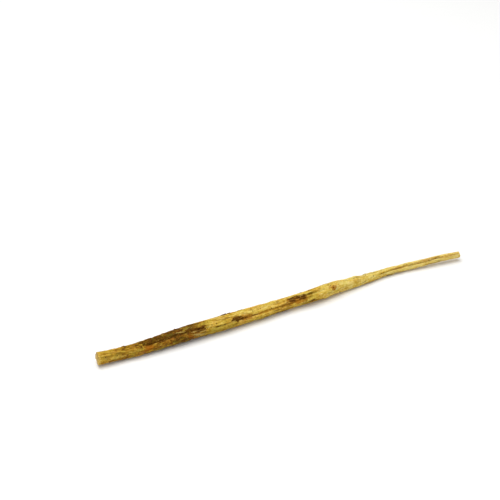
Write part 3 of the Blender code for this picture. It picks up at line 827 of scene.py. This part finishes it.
def looseFibres(material):
    draw = random.Random(fibres["seed"])
    count = fibres["points"]
    power, sunk = fibres["curve"]
    share, angle, lift, thickness = [], [], [], []
    groups = [group for group in fibres["groups"] for _ in range(group[0])]
    for _, first, last, shortest, longest, ways in groups:
        start, degrees = drawn(draw, ((first, last), fibres["angles"]))
        heading = draw.choice(ways) + draw.uniform(*fibres["stray"])
        length, rise, radius, bend = drawn(draw, ((shortest, longest), *fibres["sizes"]))
        across, along = 0, 0
        for step in range(count):
            run = step / (count - 1)
            share.append(start + along * mm / rootForm["length"])
            angle.append(math.radians(degrees) + across * mm / float(radiusAt(np.array(start))))
            lift.append(mm * (rise * run ** power - sunk))
            thickness.append(mm * radius * (1 - fibres["taper"] * run))
            along += length / (count - 1) * math.cos(heading + bend * run)
            across += length / (count - 1) * math.sin(heading + bend * run)
    share = np.array(share)
    low, high = fibres["shares"]
    points = onSkin(np.clip(share, low, high), np.array(angle), np.array(lift))[0]
    points[:, 0] += (np.minimum(share - low, 0) + np.maximum(share - high, 0)) * rootForm["length"]
    paths = [[(points[i], thickness[i]) for i in range(first, first + count)]
             for first in range(0, len(points), count)]
    strands("looseFibres", paths, material)


def rootletStumps(material):
    paths = []
    steps = np.linspace(0, 1, stumps["points"])
    thick, less = stumps["taper"]
    for middle, degrees, radius, length in stumps["rows"]:
        share = middle + stumps["lean"] * length * steps * mm / rootForm["length"]
        angle = np.full(len(steps), math.radians(degrees))
        lift = mm * (length * np.sin(stumps["arch"] * steps) - stumps["sunk"])
        points = onSkin(share, angle, lift)[0]
        paths.append(list(zip(points, mm * radius * (thick - less * steps ** 2))))
    strands("rootletStumps", paths, material)


# Materials

def newMaterial(name, roughness, shine=0.1):
    material = bpy.data.materials.new(name)
    material.use_nodes = True
    shader = material.node_tree.nodes["Principled BSDF"]
    shader.inputs["Roughness"].default_value = roughness
    shader.inputs["Specular IOR Level"].default_value = shine
    return material, material.node_tree, shader


def tinted(tree, base, patches, rows):   # tints a colour in patches of a noise
    for colour, full, none, strength in rows:
        tint = addNode(tree, "MapRange", {"From Min": none, "From Max": full, "To Max": strength},
                       {"Value": patches})
        base = addNode(tree, "Mix", {"data_type": "RGBA", 7: linear(colour)}, {0: tint, 6: base})
    return base


def dressed(material, base, height, strength, deep):   # gives it a colour and a relief this many mm deep
    tree = material.node_tree
    shader = tree.nodes["Principled BSDF"]
    bump = addNode(tree, "Bump", {"Strength": strength, "Distance": deep * mm}, {"Height": height})
    tree.links.new(base, shader.inputs["Base Color"])
    tree.links.new(bump, shader.inputs["Normal"])
    return material


skinLook = {
    # stretch along the root as a share, scale to the mm, detail and roughness of each noise
    "noises": {
        "streak": (0.1, 0.95, 4, 0.6),   # fibre streaks 1 mm apart: real ones, 0.3 mm apart, wouldn't show
        "grain": (1, 0.62, 5, 0.65),   # starch grain: mottles of 1 to 2 mm
        "fine": (1, 2.4, 4, 0.6),   # and finer ones of 0.4 mm
        "tints": (0.4, 0.27, 3, 0.6),   # patches of 3 to 6 mm where the skin turns greenish or rosy
        "crumbs": (0.45, 0.9, 6, 0.75),   # crumbs of cork, about 1 mm
        "patches": (0.45, 0.24, 3, 0.5),   # patches of 3 to 5 mm where the cork is olive or rust
        "fibres": (0.07, 2.8, 3, 0.6),   # bast fibres just under the skin, about 0.35 mm apart
    },
    "shades": (("streak", 1.2), ("grain", 1.2), ("fine", 0.6)),   # how far each noise shades the skin
    # from dark brown through gold to pale straw
    "ramp": ((0, "#583605"), (0.2, "#8C620E"), (0.4, "#B68B24"), (0.58, "#D3AC3E"), (0.76, "#E2C45C"),
             (1, "#F0DC88")),
    # near black to tan
    "cork": ((0, "#2A1402"), (0.3, "#502D05"), (0.55, "#704708"), (0.8, "#8C6012"), (1, "#B4872C")),
    "crumbRange": (0.3, 0.7),
    # colour, where in the noise it is full and where none, strength
    "skinTints": (("#C0B84A", 0.68, 0.5, 0.34), ("#D8974A", 0.32, 0.48, 0.28)),
    "corkTints": (("#645A14", 0.3, 0.44, 0.45), ("#84400F", 0.7, 0.57, 0.55)),
    # mask, how far its edge is broken up, where it begins and ends, strength, colour; none for the cork's
    "layers": (
        ("pale", 0.45, 0.25, 1, 0.55, "#E8D278"),
        ("amber", 0.8, 0.2, 1.1, 0.8, "#A05C06"),
        ("crack", 0.2, 0.3, 0.9, 0.55, "#7A5012"),
        # painted shade in the furrows and wrinkles
        ("crease", 0.35, 0.2, 0.9, 0.72, "#6E4409"),
        ("bark", 0.35, 0.32, 0.62, 1, None),
        ("bared", 0.7, 0.38, 0.95, 0.62, "#DABC62"),
        ("olive", 0.45, 0.3, 0.95, 0.4, "#746814"),
        ("pit", 0.3, 0.42, 0.66, 0.85, "#563004"),
    ),
    "roughness": {"From Min": 0.3, "From Max": 0.7, "To Min": 0.7, "To Max": 0.9},
    "fibreRelief": 1.6,   # beside that of the fine grain
}


def peeledSkin():
    # Root skin scraped by hand and sun-dried: matte, straw to golden brown, streaked along the
    # root, with brown cork left in its furrows and orange stains where sap dried.
    material, tree, shader = newMaterial("dried peeled root skin", 0.80)
    straight = addNode(tree, "Attribute", {"attribute_name": "straight"}, {}, "Vector")
    noises = {}
    for name, (stretch, scale, detail, rough) in skinLook["noises"].items():
        way = {"operation": "MULTIPLY", 1: (stretch, 1, 1)}
        stretched = addNode(tree, "VectorMath", way, {0: straight})
        settings = {"Scale": scale, "Detail": detail, "Roughness": rough}
        noises[name] = addNode(tree, "TexNoise", settings, {"Vector": stretched})
    fine = noises["fine"]

    shade = addNode(tree, "Attribute", {"attribute_name": "tone"}, {}, "Fac")
    for name, reach in skinLook["shades"]:
        settings = {"operation": "MULTIPLY_ADD", 1: reach, 2: -0.5 * reach}
        centred = addNode(tree, "Math", settings, {0: noises[name]})
        shade = addNode(tree, "Math", {"operation": "ADD"}, {0: shade, 1: centred})
    base = addNode(tree, "ValToRGB", {"stops": skinLook["ramp"]}, {"Fac": shade})
    base = tinted(tree, base, noises["tints"], skinLook["skinTints"])

    low, high = skinLook["crumbRange"]
    crumbs = addNode(tree, "MapRange", {"From Min": low, "From Max": high}, {"Value": noises["crumbs"]})
    cork = addNode(tree, "ValToRGB", {"stops": skinLook["cork"]}, {"Fac": crumbs})
    cork = tinted(tree, cork, noises["patches"], skinLook["corkTints"])

    # the masks of the marks, their edges broken up by the grain and the streaks
    broken = addNode(tree, "Math", {"operation": "ADD"}, {0: fine, 1: noises["streak"]})
    broken = addNode(tree, "Math", {"operation": "SUBTRACT", 1: 1}, {0: broken})
    masks = {}
    for name, ragged, begins, ends, strength, colour in skinLook["layers"]:
        mask = addNode(tree, "Attribute", {"attribute_name": name}, {}, "Fac")
        settings = {"operation": "MULTIPLY_ADD", 1: 2 * ragged}
        mask = addNode(tree, "Math", settings, {0: broken, 2: mask})
        settings = {"From Min": begins, "From Max": ends, "To Max": strength}
        settings["interpolation_type"] = "SMOOTHSTEP"
        masks[name] = addNode(tree, "MapRange", settings, {"Value": mask})
        paint = {7: linear(colour)} if colour else {}
        below = {0: masks[name], 6: base} if colour else {0: masks[name], 6: base, 7: cork}
        base = addNode(tree, "Mix", {"data_type": "RGBA", **paint}, below)

    rough = addNode(tree, "MapRange", skinLook["roughness"], {"Value": noises["grain"]})
    tree.links.new(rough, shader.inputs["Roughness"])
    settings = {"operation": "MULTIPLY_ADD", 1: skinLook["fibreRelief"]}
    height = addNode(tree, "Math", settings, {0: noises["fibres"], 2: fine})
    links = {0: masks["bark"], 1: crumbs, 2: height}
    height = addNode(tree, "Math", {"operation": "MULTIPLY_ADD"}, links)
    return dressed(material, base, height, strength=0.9, deep=0.26)


fleshLook = {
    "rings": ((0, "#6E4C1A"), (0.1, "#A27C34"), (0.2, "#CDAF66"), (0.52, "#C6A65C"), (0.6, "#8E6424"),
              (0.66, "#CDB06A"), (0.88, "#D9BF7C"), (0.96, "#B48C3A"), (1, "#94681E")),   # pith to skin
    "rays": (("#B8904C", 0.7, 0.5, 0.4),),   # tints like the skin's
    "mottles": (("#C09A52", 0.75, 0.5, 0.45),),
}


def cutFlesh():
    # Starchy flesh bared by the knife: chalky cream, with a darker ring where the wood begins
    # and rays that run out from the pith.
    material, tree, _ = newMaterial("cut starchy root flesh", 0.86)
    straight = addNode(tree, "Attribute", {"attribute_name": "straight"}, {}, "Vector")
    part = addNode(tree, "Attribute", {"attribute_name": "cutPart"}, {}, "Fac")
    flat = addNode(tree, "VectorMath", {"operation": "MULTIPLY", 1: (0, 1, 1)}, {0: straight})
    heading = addNode(tree, "VectorMath", {"operation": "NORMALIZE"}, {0: flat})
    # rays about 8 degrees apart, and starch grain of about 0.5 mm
    rays = addNode(tree, "TexNoise", {"Scale": 7, "Detail": 2}, {"Vector": heading})
    grain = addNode(tree, "TexNoise", {"Scale": 2.2, "Detail": 5}, {"Vector": straight})
    base = addNode(tree, "ValToRGB", {"stops": fleshLook["rings"]}, {"Fac": part})
    base = tinted(tree, base, rays, fleshLook["rays"])
    base = tinted(tree, base, grain, fleshLook["mottles"])
    return dressed(material, base, grain, strength=0.6, deep=0.08)


def mottled(name, roughness, size, stops, deep):   # a dry finish with mottles of this size in mm
    material, tree, _ = newMaterial(name, roughness)
    place = addNode(tree, "TexCoord", {}, {}, "Object")
    settings = {"Scale": 1 / (size * mm), "Detail": 5, "Roughness": 0.65}
    grain = addNode(tree, "TexNoise", settings, {"Vector": place})
    wide = addNode(tree, "MapRange", {"From Min": 0.28, "From Max": 0.72}, {"Value": grain})
    colour = addNode(tree, "ValToRGB", {"stops": stops}, {"Fac": wide})
    return dressed(material, colour, grain, strength=0.7, deep=deep)


# Cork of the outer bark: brown, dry and crumbly, so it is rough and darker than the skin.
corkStops = ((0.0, "#2C1603"), (0.4, "#5A3608"), (0.7, "#74500F"), (1.0, "#94681C"))
corkFlake = mottled("flaking brown root cork", 0.9, 0.7, corkStops, 0.12)
# Bast fibres and rootlet ends: straw-coloured and dull.
fibrous = mottled("dry root fibre", 0.7, 0.6, ((0.0, "#A87A2C"), (1.0, "#E6CE88")), 0.02)
# Broken rootlets: darker than the skin round them.
stumpStops = ((0.0, "#5E3C0E"), (0.6, "#94691E"), (1.0, "#C79C44"))
stumpSkin = mottled("dry rootlet stump", 0.85, 0.5, stumpStops, 0.06)

print("making the root's skin")
skin = peeledSkin()
root = fineRoot(skin, cutFlesh())
print("root:", sum(len(face.vertices) - 2 for face in root.data.polygons), "triangles")
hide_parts("glehnia_root")
wear(root)

print("laying on flakes, peels and fibres")
sheetsOnSkin("barkFlakes", barkFlakeRows(), flakes, corkFlake)
sheetsOnSkin("skinPeels", peels["rows"], peels, skin)
looseFibres(fibrous)
rootletStumps(stumpSkin)


# Floor, light and camera

stage = {
    "floorSize": 12,   # metres
    "floor": ("#F7F7F6", 0.9, 0.2),   # colour, roughness, shine
    "sky": "#FFFFFF",
    "cameraAim": (0.00815, 0.07637, 0),
    "azimuth": -25.54,   # degrees
    "elevation": 34,
    "distance": 1,
    "lens": 97.56,   # mm
    "sensor": 36,
    "clipStart": 0.01,
    "key": (-0.1, 0.25, 1.1, 1.3, 13.2),   # x, y, z, size in metres, watts
    "fill": (-0.5, -0.6, 0.8, 0.8, 2.6),
    "worldStrength": 0.4,
}


def whiteFloor():
    mesh = bmesh.new()
    bmesh.ops.create_grid(mesh, x_segments=2, y_segments=2, size=stage["floorSize"] / 2)
    colour, roughness, shine = stage["floor"]
    material, _, shader = newMaterial("matte white paper", roughness, shine)
    shader.inputs["Base Color"].default_value = linear(colour)
    newObject("studioFloor", mesh, material)


def softLight(name, x, y, z, size, watts):
    light = bpy.data.lights.new(name, "AREA")
    light.shape = "SQUARE"
    light.size = size
    light.energy = watts
    lamp = bpy.data.objects.new(name, light)
    scene.collection.objects.link(lamp)
    lamp.location = (x, y, z)
    lamp.rotation_euler = (-Vector((x, y, z))).to_track_quat("-Z", "Y").to_euler()


def setStage():
    whiteFloor()
    softLight("keyLight", *stage["key"])
    softLight("fillLight", *stage["fill"])
    world = bpy.data.worlds.new("softWhiteRoom")
    world.use_nodes = True
    scene.world = world
    sky = world.node_tree.nodes["Background"]
    sky.inputs["Color"].default_value = linear(stage["sky"])
    sky.inputs["Strength"].default_value = stage["worldStrength"]
    scene.view_settings.view_transform = "Standard"

    camera = bpy.data.cameras.new("camera")
    camera.lens = stage["lens"]
    camera.sensor_width = stage["sensor"]
    camera.clip_start = stage["clipStart"]
    eye = bpy.data.objects.new("camera", camera)
    scene.collection.objects.link(eye)
    azimuth, elevation = math.radians(stage["azimuth"]), math.radians(stage["elevation"])
    level = math.cos(elevation)
    back = Vector((math.sin(azimuth) * level, -math.cos(azimuth) * level, math.sin(elevation)))
    eye.location = Vector(stage["cameraAim"]) + back * stage["distance"]
    eye.rotation_euler = (-back).to_track_quat("-Z", "Y").to_euler()
    scene.camera = eye


setStage()
print("stage, light and camera set")
